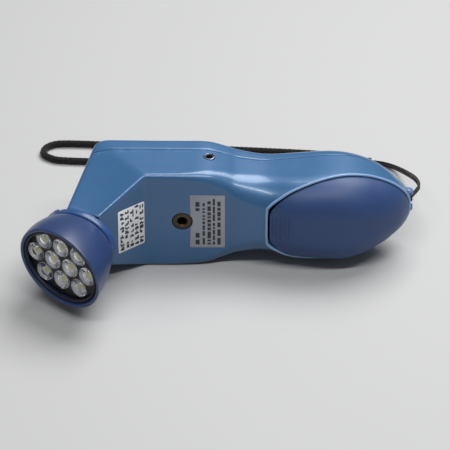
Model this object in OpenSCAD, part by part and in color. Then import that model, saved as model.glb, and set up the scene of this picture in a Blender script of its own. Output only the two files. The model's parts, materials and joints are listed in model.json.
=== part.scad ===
// Pocket LED stroboscope. It lies on its side: +X runs along the handle to the tail,
// +Y runs from the back to the display side, +Z is the device's width. The origin is
// the mouth of the tripod socket.

/* [Casing] */
// Half width of the head
head_half_w = 30.5; // [29:0.5:32]
// Half width at the waist
waist_half_w = 23.5; // [22.5:0.5:25]
// Half width at the bulb
bulb_half_w = 27; // [26:0.5:29]
// Depth from the back to the display face
depth = 36.5; // [36:0.5:38]
// How far the bulb swells behind the back
bulb_swell = 11; // [10:0.5:12]
// Wall thickness
wall = 2; // [1.6:0.1:2.2]
// Radius of the ridge along the back of the head
ridge_r = 2.5; // [2:0.25:4]
// Height of the parting line
parting_y = 25.6; // [25.2:0.2:26]

/* [Lamp] */
// Direction of the rim, measured from -X towards -Y
rim_angle = 51.5; // [50:0.5:53]
// Half length of the oval rim
rim_a = 28; // [28:0.5:29]
// Half width of the oval rim
rim_b = 23; // [23:0.5:24]
// Spacing of the lenses
lens_pitch = 12.2; // [12:0.1:12.2]
// Radius of one lens
lens_r = 5.6; // [5:0.1:5.6]
// Length of the collar
collar_len = 7; // [6:0.5:7.5]

/* [Keys] */
// Key travel
key_travel = 0.8; // [0.4:0.1:0.8]
// Spacing of the small keys along the handle
key_pitch = 10; // [9.8:0.1:10.2]
// Distance of the small keys from the middle
key_row_z = 15; // [14.5:0.5:15]

/* [Sockets] */
// Bore radius of the charging and trigger sockets
jack_bore_r = 1.8; // [1.5:0.1:2]
// Depth of the socket bores
jack_depth = 10; // [8:0.5:11]
// Bore radius of the tripod thread
tripod_bore_r = 2.6; // [2.4:0.1:2.8]
// Depth of the tripod thread
tripod_depth = 8; // [6:0.5:8]

/* [Battery bay] */
// Radius of one cell
cell_r = 7.1; // [6.9:0.05:7.2]
// Length of one cell without its button
cell_len = 49; // [48:0.5:49]

/* [Strap] */
// Radius of the webbing's edge
strap_r = 1.85; // [1.4:0.05:1.9]

/* [Hidden] */
gap = 0.05;
// Sections: x, half width, back y, front y, back corner radius, front corner radius
KEYS = [
    [-20, head_half_w, 0, depth, ridge_r, 4],
    [0, head_half_w, 0, depth, ridge_r + 0.5, 4],
    [14, head_half_w - 0.3, 0, depth, 6, 4],
    [24, head_half_w - 2.9, 0, depth, 9.2, 4.6],
    [30, waist_half_w + 2, -1.5, depth, 12, 5],
    [45, waist_half_w, -4.5, depth, 16, 7],
    [62, bulb_half_w - 2, 1.5 - bulb_swell, depth + 0.5, 18, 9],
    [80, bulb_half_w, -bulb_swell, depth + 1, 19, 11],
    [100, bulb_half_w, -bulb_swell, depth + 0.5, 20, 13],
    [126, bulb_half_w - 1, 1 - bulb_swell, depth - 0.5, 20, 14]
];
tail_x = 126;
tail_start = 84;
tail_y = 21;
// Bend of the head: back corner and top corner
bend_p = [-20.2, 0];
bend_q = [-48.3, depth];
// Lamp end of the head
neck_angle = 65.6;
neck_p = [-44.5, -19];
neck_len = 20.1;
neck_half_w = 16.5;
lamp_dir = [-cos(neck_angle), -sin(neck_angle)];
lamp_side = [sin(neck_angle), -cos(neck_angle)];
neck_q = neck_p - neck_len * lamp_side;
neck_c = (neck_p + neck_q) / 2;
collar_a = 20.6;
collar_b = 17.6;
collar_c = neck_c - 0.9 * lamp_side;
rim_c = [-65.7, -44.3];
bell_c = collar_c + (collar_len + gap) * lamp_dir;
// Keys and sockets
key_y = [30.6, 33.4, depth - wall - gap, 37.6];
key_x0 = 0.5;
trigger_x = 27;
jack_y = 19;
power_x = 14.7;
input_x = 4;
output_x = 18;
screw_xz = [[20, -12], [20, 12], [62, -18.6], [62, 18.6]];
board_y = 27;
board_screw_xz = [[-34, -17], [-34, 17], [42, -14], [42, 14]];
lcd_x = [-36, -6];
lcd_half_z = 13;
// Batteries
cell_x = 54;
cell_y = [6.5, 21.3];
cell_z = 7.6;
// Tail
pin_x = 124.9;
pin_y = 22;
pin_r = 1;

// Smooth curve through one column of KEYS
function key_slope(j, k) = j <= 0 || j >= len(KEYS) - 1 ? 0
    : (KEYS[j + 1][k] - KEYS[j - 1][k]) / (KEYS[j + 1][0] - KEYS[j - 1][0]);
function key_index(x) = max([for (j = [0 : len(KEYS) - 2]) j == 0 || x > KEYS[j][0] ? j : 0]);
function hermite(a, b, ma, mb, t) = (2 * t ^ 3 - 3 * t ^ 2 + 1) * a + (t ^ 3 - 2 * t ^ 2 + t) * ma
    + (3 * t ^ 2 - 2 * t ^ 3) * b + (t ^ 3 - t ^ 2) * mb;
function along(x, k) = let (i = key_index(x), h = KEYS[i + 1][0] - KEYS[i][0])
    hermite(KEYS[i][k], KEYS[i + 1][k], key_slope(i, k) * h, key_slope(i + 1, k) * h, (x - KEYS[i][0]) / h);

// Half width of the handle's inside at x and height y, within its back corners
function inner_w(x, y) = let (r = along(x, 4), u = max(0, r - y + along(x, 2)))
    along(x, 1) - r + sqrt((r - wall) ^ 2 - u ^ 2);

// Rounded rectangle standing on the line from p (back) to q (front), w either side in Z, inset by t
corner_n = 6;
function ring(p, q, w, rb, rf, t) = let (
        d = (q - p) / norm(q - p),
        len_in = norm(q - p) - 2 * t,
        w_in = w - t,
        r1 = min(max(rb - t, 0.5), 0.98 * w_in, 0.49 * len_in),
        r2 = min(max(rf - t, 0.5), 0.98 * w_in, 0.49 * len_in),
        corners = [[r1, w_in - r1, r1, 180], [len_in - r2, w_in - r2, r2, 90],
            [len_in - r2, r2 - w_in, r2, 0], [r1, r1 - w_in, r1, -90]])
    [for (c = corners) for (k = [0 : corner_n])
        let (a = c[3] - 90 * k / corner_n, xy = p + d * (t + c[0] + c[2] * cos(a)))
            [xy[0], xy[1], c[1] + c[2] * sin(a)]];

// Cross-section of the handle at x, closing to a rounded tail
function handle_ring(x, t) = let (
        q = max(0, (x - tail_start) / (tail_x - t - tail_start)),
        e = sqrt(max(0, 1 - q ^ 2)),
        f = sqrt(max(0, 1 - q ^ 2.6)),
        yb = tail_y + (along(x, 2) - tail_y) * e,
        yf = tail_y + (along(x, 3) - tail_y) * f)
    ring([x, yb], [x, yf], along(x, 1) * e, along(x, 4), along(x, 5), t);

function casing_rings(t) = concat(
    [ring(neck_p - t * lamp_dir, neck_q - t * lamp_dir, neck_half_w, 2, 2, t),
        ring(bend_p, bend_q, head_half_w, ridge_r, 4, t)],
    [for (x = [-20, -8, 0, 7, 14, 18, 22, 26, 30, 34, 38, 42, 46, 50, 54, 58, 62, 67, 73, 79])
        handle_ring(x, t)],
    [for (a = [0 : 9 : 81]) handle_ring(tail_start + (tail_x - t - tail_start) * sin(a), t)],
    [handle_ring(tail_start + (tail_x - t - tail_start) * 0.9945, t * 0.3)]);

// Solid through a list of rings with the same number of points
module loft(rings) {
    n = len(rings[0]);
    m = len(rings);
    sides = [for (i = [0 : m - 2]) for (k = [0 : n - 1]) let (a = i * n + k, b = i * n + (k + 1) % n)
        each [[a, b, a + n], [b, b + n, a + n]]];
    ends = [[for (k = [n - 1 : -1 : 0]) k], [for (k = [0 : n - 1]) (m - 1) * n + k]];
    polyhedron(points = [for (r = rings) each r], faces = concat(sides, ends), convexity = 6);
}

// Tube whose wall runs through a closed loop of rings
module loft_loop(rings) {
    n = len(rings[0]);
    m = len(rings);
    sides = [for (i = [0 : m - 1]) for (k = [0 : n - 1])
        let (a = i * n + k, b = i * n + (k + 1) % n, up = ((i + 1) % m) * n, c = up + k, d = up + (k + 1) % n)
        each [[a, b, c], [b, d, c]]];
    polyhedron(points = [for (r = rings) each r], faces = sides, convexity = 6);
}

// Rounded rectangle outline
function rounded(w, h, r) = [for (c = [[1, 1, 0], [-1, 1, 90], [-1, -1, 180], [1, -1, 270]])
    for (a = [0 : 15 : 90])
    [c[0] * (w / 2 - r) + r * cos(a + c[2]), c[1] * (h / 2 - r) + r * sin(a + c[2])]];
// Oval outline
function oval(a, b) = [for (q = [0 : 5 : 355]) [a * cos(q), b * sin(q)]];

// A flat outline in X and Z, thickened from y0 to y1
module slab(y0, y1) {
    translate([0, y0, 0])
        rotate([-90, 0, 0])
            linear_extrude(y1 - y0)
                children();
}

// Cylinder along +Y
module rod_y(x, z, y0, y1, r) {
    translate([x, y0, z])
        rotate([-90, 0, 0])
            cylinder(h = y1 - y0, r = r, $fn = 40);
}

// Tapered post along Y, for screws
module post(x, z, y0, y1, r0, r1) {
    hull() {
        rod_y(x, z, y0, y0 + 0.5, r0);
        rod_y(x, z, y1 - 0.5, y1, r1);
    }
}

module outer_casing() {
    loft(casing_rings(0));
}

module inner_casing() {
    loft(casing_rings(wall));
}

// Everything behind or in front of the parting line
module back_side() {
    translate([-90, -60, -40])
        cube([240, 60 + parting_y - gap, 80]);
}

module front_side() {
    translate([-90, parting_y + gap, -40])
        cube([240, 60, 80]);
}

// Side view of the battery door, shifted to leave a clearance
SEAM = [[46, -6.2], [46.6, -5.1], [48.8, -4.9], [55.2, -3.7], [64, -1.2], [71.5, 0.9], [80.5, 3.4], [91, 6.2],
    [97.6, 7.8], [103.7, 9.4], [110.5, 11], [116.7, 12.5], [121.3, 13.8], [124.3, 15], [130, 17.5]];
module door_profile(shift) {
    translate([-shift, shift, -40])
        linear_extrude(80)
            polygon(concat(SEAM, [[131, -30], [44, -30], [44, -8]]));
}

module screw_bores() {
    for (s = screw_xz) {
        rod_y(s[0], s[1], -20, s[0] < 40 ? 6 : 10, 2.7);
        rod_y(s[0], s[1], 0, 33, 1.4);
    }
}

module rear_shell() {
    color([0.27, 0.43, 0.62])
        difference() {
            intersection() {
                outer_casing();
                back_side();
                union() {
                    difference() {
                        translate([-90, -60, -40])
                            cube([240, 120, 80]);
                        inner_casing();
                    }
                    post(0, 0, 0, 10, 8, 7);
                    for (s = [screw_xz[0], screw_xz[1]])
                        post(s[0], s[1], 0.5, parting_y - gap, 4, 3.2);
                    for (s = [screw_xz[2], screw_xz[3]])
                        hull() {
                            rod_y(s[0], s[1], 4, parting_y - gap, 3.4);
                            rod_y(s[0], s[1] * 1.25, 4, parting_y - gap, 2);
                        }
                    for (x = [-38, -26])
                        for (z = [-1, 1])
                            hull() {
                                translate([x, 8, z * 25])
                                    cube([1.6, 14, 0.1], center = true);
                                translate([x, 8, z * 31])
                                    cube([1.6, 24, 0.1], center = true);
                            }
                }
            }
            door_profile(0.3);
            screw_bores();
            rod_y(0, 0, -1, 9.05, 5.65);
            translate([power_x, jack_y, 12])
                cylinder(h = 30, r = 3.3, $fn = 40);
            for (x = [input_x, output_x])
                translate([x, jack_y, -42])
                    cylinder(h = 30, r = 3.3, $fn = 40);
            translate([neck_c[0], neck_c[1], 0])
                rotate([90, 0, neck_angle - 90])
                    cylinder(h = 12, r = 6, center = true, $fn = 40);
            translate([pin_x - 13, 19.2, -6.3])
                cube([20, 5.6, 12.6]);
        }
}

module front_shell() {
    color([0.27, 0.43, 0.62])
        difference() {
            intersection() {
                outer_casing();
                front_side();
                union() {
                    difference() {
                        translate([-90, 0, -40])
                            cube([240, 80, 80]);
                        inner_casing();
                    }
                    for (s = screw_xz)
                        post(s[0], s[1], parting_y + gap, depth - 0.5, 2.9, 3.4);
                    for (s = board_screw_xz)
                        post(s[0], s[1], board_y + 1.6 + gap, depth - 0.5, 2.2, 2.8);
                }
            }
            for (s = screw_xz)
                rod_y(s[0], s[1], 20, 33, 1.4);
            for (s = board_screw_xz)
                rod_y(s[0], s[1], 20, 33.5, 1.0);
            slab(30, 40)
                translate([(lcd_x[0] + lcd_x[1]) / 2, 0])
                    polygon(rounded(lcd_x[1] - lcd_x[0], 2 * lcd_half_z, 1.5));
            for (x = [0, 1], z = [-1, 1])
                slab(30, 40)
                    translate([key_x0 + x * key_pitch, z * key_row_z])
                        polygon(rounded(7.6, 8.6, 1.8));
            slab(30, 40)
                translate([trigger_x, 0])
                    polygon(shield(0.3));
            slab(depth - 0.4, 45)
                polygon(overlay_outline(0.2));
        }
}

module battery_door() {
    color([0.17, 0.21, 0.36])
        union() {
            difference() {
                intersection() {
                    outer_casing();
                    door_profile(0);
                }
                inner_casing();
            }
            // Thumb ridges at the front end, lying across the door
            intersection() {
                for (i = [0 : 4]) {
                    x = 50 + 2.4 * i;
                    y = along(x, 2);
                    hull() {
                        translate([x, y + 0.2, -7 - 0.4 * i])
                            sphere(r = 0.9, $fn = 16);
                        translate([x, y + 0.2, 7 + 0.4 * i])
                            sphere(r = 0.9, $fn = 16);
                    }
                }
                translate([40, -30, -20])
                    cube([30, 40, 40]);
            }
            // Hooks that slide under the casing
            for (z = [-1, 1])
                for (h = [[60, -2.6], [74, 1.3]])
                    hull() {
                        translate([h[0], h[1] - 2.3, z * (inner_w(h[0] - 2.5, h[1] - 2.3) + 0.2)])
                            cube([5, 1.6, 1.4], center = true);
                        translate([h[0], h[1] + 1, z * (inner_w(h[0] - 2.5, h[1]) - 1.45)])
                            cube([5, 2, 1.2], center = true);
                    }
        }
}

module case_screws() {
    color([0.6, 0.6, 0.62])
        for (s = screw_xz) {
            top = s[0] < 40 ? 6 : 10;
            difference() {
                rod_y(s[0], s[1], top - 2.2, top - gap, 2.4);
                rod_y(s[0], s[1], top - 3, top - 1.2, 0.9);
            }
            rod_y(s[0], s[1], top - 1, 31.5, 1.3);
        }
}

module label_white() {
    color([0.92, 0.92, 0.9])
        translate([bend_p[0], bend_p[1], 0])
            rotate([0, 0, atan2(neck_p[1] - bend_p[1], neck_p[0] - bend_p[0])])
                translate([0.8, gap, -14])
                    cube([17.8, 0.2, 28]);
}

module label_grey() {
    color([0.62, 0.64, 0.66])
        difference() {
            translate([4.2, -gap - 0.2, -17.6])
                cube([19, 0.2, 35.2]);
            rod_y(0, 0, -1, 1, 6);
        }
}

module tripod_insert() {
    color([0.78, 0.62, 0.3])
        rotate([-90, 0, 0])
            difference() {
                cylinder(h = 9, r = 5.55, $fn = 64);
                translate([0, 0, -1])
                    cylinder(h = tripod_depth + 1, r = tripod_bore_r, $fn = 64);
            }
}

// Half-outline of the display side, narrowing to the waist, grown by g
function overlay_outline(g) = let (
        side = [[-42, 24], [-40, 25.2], [-20, 25.2], [2, 25.2], [12, 24], [22, 21.2], [32, 18.2], [42, 16],
            [50, 15.4], [56, 13.6], [60, 10], [62.5, 5.2]])
    concat([for (p = side) [p[0] + (p[0] < -41 ? -g : p[0] > 55 ? g : 0), p[1] + g]],
        [for (i = [len(side) - 1 : -1 : 0]) let (p = side[i])
            [p[0] + (p[0] < -41 ? -g : p[0] > 55 ? g : 0), -p[1] - g]]);

// Shield outline of the trigger key, grown by g
function shield(g) = [for (a = [0 : 10 : 350])
    [(6.2 + g) * cos(a) - 0.8 * cos(2 * a), (7 + g) * sin(a) * (1 - 0.14 * cos(a))]];

module display_overlay() {
    color([0.12, 0.16, 0.3])
        difference() {
            slab(depth - 0.4 + gap, depth + 0.1)
                polygon(overlay_outline(0));
            slab(30, 40)
                translate([(lcd_x[0] + lcd_x[1]) / 2, 0])
                    polygon(rounded(lcd_x[1] - lcd_x[0], 2 * lcd_half_z, 1.5));
            for (x = [0, 1], z = [-1, 1])
                slab(30, 40)
                    translate([key_x0 + x * key_pitch, z * key_row_z])
                        polygon(rounded(7.6, 8.6, 1.8));
            slab(30, 40)
                translate([trigger_x, 0])
                    polygon(shield(0.3));
        }
}

module lcd_window() {
    color([0.75, 0.82, 0.86, 0.5])
        union() {
            slab(32.9, 34.4)
                translate([(lcd_x[0] + lcd_x[1]) / 2, 0])
                    polygon(rounded(lcd_x[1] - lcd_x[0] + 3, 2 * lcd_half_z + 2, 2));
            slab(34, depth - 0.1)
                translate([(lcd_x[0] + lcd_x[1]) / 2, 0])
                    polygon(rounded(lcd_x[1] - lcd_x[0] - 0.3, 2 * lcd_half_z - 0.3, 1.4));
        }
}

module lcd_glass() {
    color([0.56, 0.62, 0.52])
        translate([lcd_x[0] - 1.5, 30.4, -lcd_half_z - 1])
            cube([lcd_x[1] - lcd_x[0] + 3, 2.4, 2 * lcd_half_z + 2]);
}

module lcd_backlight() {
    color([0.9, 0.92, 0.86])
        translate([lcd_x[0] - 0.5, 29.2, -lcd_half_z])
            cube([lcd_x[1] - lcd_x[0] + 1, 1.1, 2 * lcd_half_z]);
}

// A small key with a flange under the casing and a stem over its switch
module small_key(col, row) {
    color([0.8, 0.82, 0.84])
        translate([key_x0 + col * key_pitch, 0, row * key_row_z])
            union() {
                slab(key_y[2] - 0.2, key_y[3])
                    polygon(rounded(7, 8, 1.5));
                slab(key_y[1], key_y[2])
                    polygon(rounded(8.6, 9.8, 2));
                rod_y(0, 0, key_y[0], key_y[1] + 0.2, 1.5);
            }
}

module key_plus() {
    small_key(0, 1);
}

module key_minus() {
    small_key(0, -1);
}

module key_double() {
    small_key(1, 1);
}

module key_half() {
    small_key(1, -1);
}

module key_trigger() {
    color([0.75, 0.28, 0.16])
        translate([trigger_x, 0, 0])
            union() {
                slab(key_y[2] - 0.2, key_y[3] + 0.4)
                    polygon(shield(0));
                slab(key_y[1], key_y[2])
                    polygon(shield(0.9));
                rod_y(0, 0, key_y[0], key_y[1] + 0.2, 1.8);
            }
}

module key_switches() {
    color([0.15, 0.15, 0.16])
        for (p = [[key_x0, -key_row_z], [key_x0, key_row_z], [key_x0 + key_pitch, -key_row_z],
                [key_x0 + key_pitch, key_row_z], [trigger_x, 0]]) {
            translate([p[0] - 2.25, board_y + 1.6 + gap, p[1] - 2.25])
                cube([4.5, 0.7, 4.5]);
            rod_y(p[0], p[1], board_y + 2, key_y[0] - key_travel - 0.1, 1.1);
        }
}

module main_board() {
    color([0.1, 0.34, 0.2])
        difference() {
            slab(board_y, board_y + 1.6)
                polygon([[-44, -21], [-44, 21], [12, 21], [26, 18.6], [49, 18.6], [49, -18.6], [26, -18.6],
                    [12, -21]]);
            for (s = screw_xz)
                rod_y(s[0], s[1], 20, 40, 3.9);
            for (s = board_screw_xz)
                rod_y(s[0], s[1], 20, 40, 1.3);
        }
}

module board_parts() {
    color([0.1, 0.1, 0.11]) {
        y = board_y - gap;
        translate([-30, y - 1.4, -7])
            cube([10, 1.4, 10]);
        translate([-12, y - 1.2, 3])
            cube([6, 1.2, 5]);
        translate([-2, y - 3.5, -9])
            cube([8, 3.5, 4]);
        translate([30, y - 5, -6])
            cube([5, 5, 12]);
        rod_y(-28, 13, y - 8, y, 3);
        rod_y(-18, -14, y - 8, y, 3);
        rod_y(42.5, 0, y - 6, y, 2.2);
        translate([-9, y - 2.8, -15])
            cube([3, 2.8, 8]);
    }
}

module board_screws() {
    color([0.6, 0.6, 0.62])
        for (s = board_screw_xz) {
            rod_y(s[0], s[1], board_y - 1.4, board_y - gap, 1.9);
            rod_y(s[0], s[1], board_y - 1, 33, 0.9);
        }
}

// A socket body standing along +Z from the side wall, its mouth at z = 0 in its own frame
module jack_body() {
    difference() {
        union() {
            translate([0, 0, -jack_depth - 2])
                cylinder(h = jack_depth + 2, r = 3.15, $fn = 64);
            translate([-3.6, -3.6, -jack_depth - 2])
                cube([7.2, 7.2, 8]);
        }
        translate([0, 0, -jack_depth])
            cylinder(h = jack_depth + 1, r = jack_bore_r, $fn = 64);
    }
}

module power_jack() {
    color([0.2, 0.2, 0.22])
        translate([power_x, jack_y, head_half_w - 0.3])
            jack_body();
}

module input_jack() {
    color([0.2, 0.2, 0.22])
        translate([input_x, jack_y, -head_half_w + 0.4])
            rotate([180, 0, 0])
                jack_body();
}

module output_jack() {
    color([0.2, 0.2, 0.22])
        translate([output_x, jack_y, -head_half_w + 0.8])
            rotate([180, 0, 0])
                jack_body();
}

// A bent wire through a list of points
module wire(points, r) {
    for (i = [0 : len(points) - 2])
        hull() {
            translate(points[i])
                sphere(r = r, $fn = 10);
            translate(points[i + 1])
                sphere(r = r, $fn = 10);
        }
}

module lamp_cable() {
    color([0.7, 0.15, 0.12])
        for (z = [-1.6, 1.6])
            wire([[-59.6, -26, z], [-55.6, -17.6, z], [-51, -9, z], [-46, 2, z * 1.6], [-41, 12, z * 1.8],
                [-38, 20, z * 1.6], [-37, 25.6, z * 1.6]], 0.8);
}

module battery_leads() {
    color([0.12, 0.12, 0.12])
        for (z = [-9, 9])
            wire([[50.1, 24, z], [47, 24, z], [43, 23.4, z * 0.9], [39.5, 23.4, z * 0.8], [37, 24.6, z * 0.5],
                [36.2, 25.6, z * 0.3]], 0.7);
}

module battery_holder() {
    color([0.13, 0.13, 0.14])
        union() {
            for (x = [cell_x - 3.2, cell_x + cell_len + 2.6])
                for (y = cell_y, z = [-cell_z, cell_z])
                    translate([x, y, z])
                        rotate([0, 90, 0])
                            cylinder(h = 1.5, r = 7, $fn = 48);
            for (x = [cell_x - 3.2, cell_x + cell_len + 2.6])
                translate([x, cell_y[0] - 2, -cell_z - 2])
                    cube([1.5, cell_y[1] - cell_y[0] + 4, 2 * cell_z + 4]);
            translate([cell_x - 3.2, (cell_y[0] + cell_y[1]) / 2 - 0.2, -1.4])
                cube([cell_len + 7.3, 0.4, 2.8]);
        }
}

module batteries() {
    color([0.75, 0.6, 0.2])
        for (y = cell_y, z = [-cell_z, cell_z]) {
            flip = y > 10 == z > 0;
            translate([flip ? cell_x + cell_len : cell_x, y, z])
                rotate([0, flip ? -90 : 90, 0])
                    union() {
                        cylinder(h = cell_len, r = cell_r, $fn = 64);
                        cylinder(h = cell_len + 1.2, r = 2.6, $fn = 32);
                    }
        }
}

module battery_springs() {
    color([0.78, 0.78, 0.8])
        for (y = cell_y, z = [-cell_z, cell_z]) {
            flip = y > 10 == z > 0;
            x = flip ? cell_x + cell_len + 1.65 : cell_x - 1.35;
            translate([x, y, z])
                rotate([0, flip ? -90 : 90, 0])
                    for (i = [0, 1])
                        translate([0, 0, 0.3 + i * 0.45])
                            rotate_extrude($fn = 32)
                                translate([4.2 - 1.4 * i, 0])
                                    circle(r = 0.25, $fn = 10);
        }
}

module battery_plates() {
    color([0.78, 0.78, 0.8])
        for (y = cell_y, z = [-cell_z, cell_z])
            for (x = [cell_x - 1.65, cell_x + cell_len + 2.1])
                translate([x, y - 4.6, z - 4.6])
                    cube([0.25, 9.2, 9.2]);
}

// Frame on the lamp axis at the collar: local +Z towards the lamp, local X along the oval
module at_collar(s) {
    c = collar_c + s * lamp_dir;
    translate([c[0], c[1], 0])
        rotate([90, 0, neck_angle - 90])
            children();
}

// The same, parallel to the rim and s behind it, centred in the slanting bell
rim_dir = [-cos(rim_angle), -sin(rim_angle)];
rim_side = [sin(rim_angle), -cos(rim_angle)];
slant = ((bell_c - rim_c) * rim_side) / ((rim_c - bell_c) * rim_dir);
module at_rim(s, middle) {
    c = rim_c - s * rim_dir + middle * slant * rim_side;
    translate([c[0], c[1], 0])
        rotate([90, 0, rim_angle - 90])
            children();
}

module lamp_collar() {
    color([0.16, 0.22, 0.4])
        at_collar(gap)
            difference() {
                union() {
                    linear_extrude(collar_len - gap)
                        polygon(oval(collar_a, collar_b));
                    translate([0, 0, 0.8])
                        linear_extrude(1.6)
                            polygon(oval(collar_a + 0.7, collar_b + 0.7));
                    // Tab on the display side, level with the bell
                    translate([0, 0, 0.8])
                        linear_extrude(collar_len - gap - 0.8)
                            polygon(concat(
                                [for (k = [128 : 8 : 232]) [22.1 * cos(k), 18.9 * sin(k)]],
                                [for (k = [232 : -8 : 128])
                                    [(collar_a - 1) * cos(k), (collar_b - 1) * sin(k)]]));
                }
                translate([0, 0, 2])
                    linear_extrude(collar_len)
                        polygon(oval(collar_a - 2.5, collar_b - 2.5));
                translate([0, 0, -1])
                    cylinder(h = 4, r = 6, $fn = 48);
            }
}

// Oval ring of the bell at fraction q of its length, inset by t
function bell_ring(q, t) = let (
        g = sin(90 * q) ^ 0.9,
        c = bell_c + (rim_c - bell_c) * q,
        ang = neck_angle + (rim_angle - neck_angle) * q ^ 0.8,
        a = 22.4 + (rim_a - 22.4) * g - t,
        b = 19 + (rim_b - 19) * g - t)
    [for (k = [0 : 5 : 355]) [c[0] + a * cos(k) * sin(ang), c[1] - a * cos(k) * cos(ang), b * sin(k)]];

module lamp_bell() {
    color([0.16, 0.2, 0.36])
        loft_loop(concat(
            [for (q = [0, 0.06, 0.14, 0.25, 0.38, 0.52, 0.68, 0.84, 1]) bell_ring(q, q == 0 ? 0.9 : 0)],
            [for (q = [1, 0.84, 0.68, 0.52, 0.38, 0.25, 0.14, 0.08]) bell_ring(q, 2)],
            [bell_ring(0.08, 6), bell_ring(0, 6)]));
}

module rim_ring() {
    color([0.05, 0.05, 0.06])
        at_rim(2.25, 1.7)
            linear_extrude(1.2)
                difference() {
                    polygon(oval(rim_a - 2.6, rim_b - 2.6));
                    polygon(oval(rim_a - 4.2, rim_b - 4.2));
                }
}

lens_rows = [for (j = [-1, 0, 1]) for (i = j == 0 ? [-1.5, -0.5, 0.5, 1.5] : [-1, 0, 1])
    [i * lens_pitch, j * lens_pitch * 0.866]];

module led_reflector() {
    color([0.07, 0.07, 0.08])
        at_rim(7.4, 5.9)
            difference() {
                linear_extrude(3)
                    polygon(oval(rim_a - 3.7, rim_b - 3));
                for (p = lens_rows)
                    translate([p[0], p[1], -1])
                        cylinder(h = 5, r = lens_r - 0.15, $fn = 48);
            }
}

module led_lenses() {
    color([0.92, 0.95, 1, 0.6])
        at_rim(7.4, 5.9)
            for (p = lens_rows)
                translate([p[0], p[1], 0])
                    rotate_extrude($fn = 48)
                        polygon(concat([[0, 1.9], [2.2, 1.9], [2.2, 0.3], [3, 0.3]],
                            [[lens_r - 0.25, 2.4], [lens_r - 0.25, 3.2]],
                            [for (a = [15 : 15 : 90]) [(lens_r - 0.25) * cos(a), 3.2 + 1.9 * sin(a)]]));
}

module leds() {
    color([0.95, 0.93, 0.75])
        at_rim(7.4, 5.9)
            for (p = lens_rows)
                translate([p[0], p[1], 0])
                    union() {
                        translate([-1.5, -1.5, -0.35])
                            cube([3, 3, 0.6]);
                        cylinder(h = 1.3, r = 1.2, $fn = 24);
                    }
}

module led_board() {
    color([0.85, 0.86, 0.84])
        at_rim(9.4, 8.6)
            linear_extrude(1.6)
                polygon(oval(rim_a - 4.6, rim_b - 4.1));
}

module heat_sink() {
    color([0.6, 0.62, 0.64])
        at_rim(15.4, 12.4)
            union() {
                translate([-13, -10, 4])
                    cube([26, 20, 1.9]);
                for (i = [-3 : 3])
                    translate([i * 3.8 - 0.6, -10, 0])
                        cube([1.2, 20, 4.2]);
            }
}

module strap_lug() {
    color([0.24, 0.4, 0.58])
        difference() {
            union() {
                translate([pin_x - 12, 19.3, -6.2])
                    cube([8, 5.4, 12.4]);
                for (z = [-6.2, 4.1])
                    translate([pin_x - 4.1, 19.3, z])
                        cube([4.1, 5.4, 2.1]);
                for (z = [-6.2, 4.1])
                    translate([pin_x, pin_y, z])
                        cylinder(h = 2.1, r = 2.7, $fn = 48);
            }
            translate([pin_x, pin_y, -4.1])
                cylinder(h = 8.2, r = 3.9, $fn = 48);
            translate([pin_x, pin_y, -7])
                cylinder(h = 14, r = pin_r + 0.05, $fn = 48);
        }
}

module lug_pin() {
    color([0.75, 0.76, 0.78])
        translate([pin_x, pin_y, -6.2])
            cylinder(h = 12.4, r = pin_r, $fn = 48);
}

// Eye of the cord round the pin, then two strands down to the ground
cord_r = 0.75;
module strap_cord() {
    color([0.05, 0.05, 0.05])
        union() {
            translate([pin_x, pin_y, 0])
                rotate_extrude($fn = 32)
                    translate([pin_r + cord_r + 0.1, 0])
                        circle(r = cord_r, $fn = 12);
            for (s = [-1, 1])
                wire([[pin_x + 1.3, pin_y + 1.3, 0], [pin_x + 3.4, pin_y + 6, -0.5 + 0.6 * s],
                    [131.8, 40, -4 + 1.4 * s], [131, 58 + s, -12 + 1.2 * s], [127.4, 77 + 1.6 * s, -21.5 + s],
                    [121, 92 + 1.6 * s, -27.8 + 0.3 * s], [114, 97.5 + 1.5 * s, -29],
                    [108.6, 99 + 0.9 * s, -29]], cord_r);
        }
}

module strap_ferrule() {
    color([0.08, 0.08, 0.08])
        translate([103.4, 99.6, -30.4])
            rotate([0, 0, 3])
                translate([-4, -2.6, 0])
                    cube([8, 5.2, 3.4]);
}

// Two sides of the webbing loop, lying on the ground and pinched where they meet in the ferrule
STRAP = [[98.9, 99.25], [96.8, 98.5], [94.5, 97.5], [91.5, 96.4], [88, 95.3], [80, 94.4], [70, 94],
    [45, 94.6], [20, 95.5], [-40, 97.5], [-62, 98.3], [-70, 98.9], [-76, 100.4], [-80, 102.7], [-82, 105.9],
    [-82, 109.3], [-80, 112.6], [-76, 115], [-70, 116], [-62, 115.9], [-40, 114.6], [20, 111], [45, 109.3],
    [70, 107.2], [80, 105.9], [88, 104.4], [91.5, 103.2], [94.5, 102], [96.8, 101.1], [98.9, 100.8]];
function strap_ring(i) = let (
    n = len(STRAP) - 1,
    d = STRAP[min(n, i + 1)] - STRAP[max(0, i - 1)],
    side = [-d[1], d[0]] / norm(d),
    r = min(strap_r, 0.75 + 0.5 * min(i, n - i)))
    [for (a = [0 : 24 : 336])
        [STRAP[i][0] + r * cos(a) * side[0], STRAP[i][1] + r * cos(a) * side[1],
            strap_r - 30.45 - r * sin(a)]];
module wrist_strap() {
    color([0.06, 0.06, 0.06])
        loft([for (i = [0 : len(STRAP) - 1]) strap_ring(i)]);
}

rear_shell();
front_shell();
battery_door();
case_screws();
label_white();
label_grey();
tripod_insert();
display_overlay();
lcd_window();
lcd_glass();
lcd_backlight();
key_plus();
key_minus();
key_double();
key_half();
key_trigger();
key_switches();
main_board();
board_parts();
board_screws();
power_jack();
input_jack();
output_jack();
lamp_cable();
battery_leads();
battery_holder();
batteries();
battery_springs();
battery_plates();
lamp_collar();
lamp_bell();
rim_ring();
led_reflector();
led_lenses();
leds();
led_board();
heat_sink();
strap_lug();
lug_pin();
strap_cord();
strap_ferrule();
wrist_strap();
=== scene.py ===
import json
import math
import random

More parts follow.
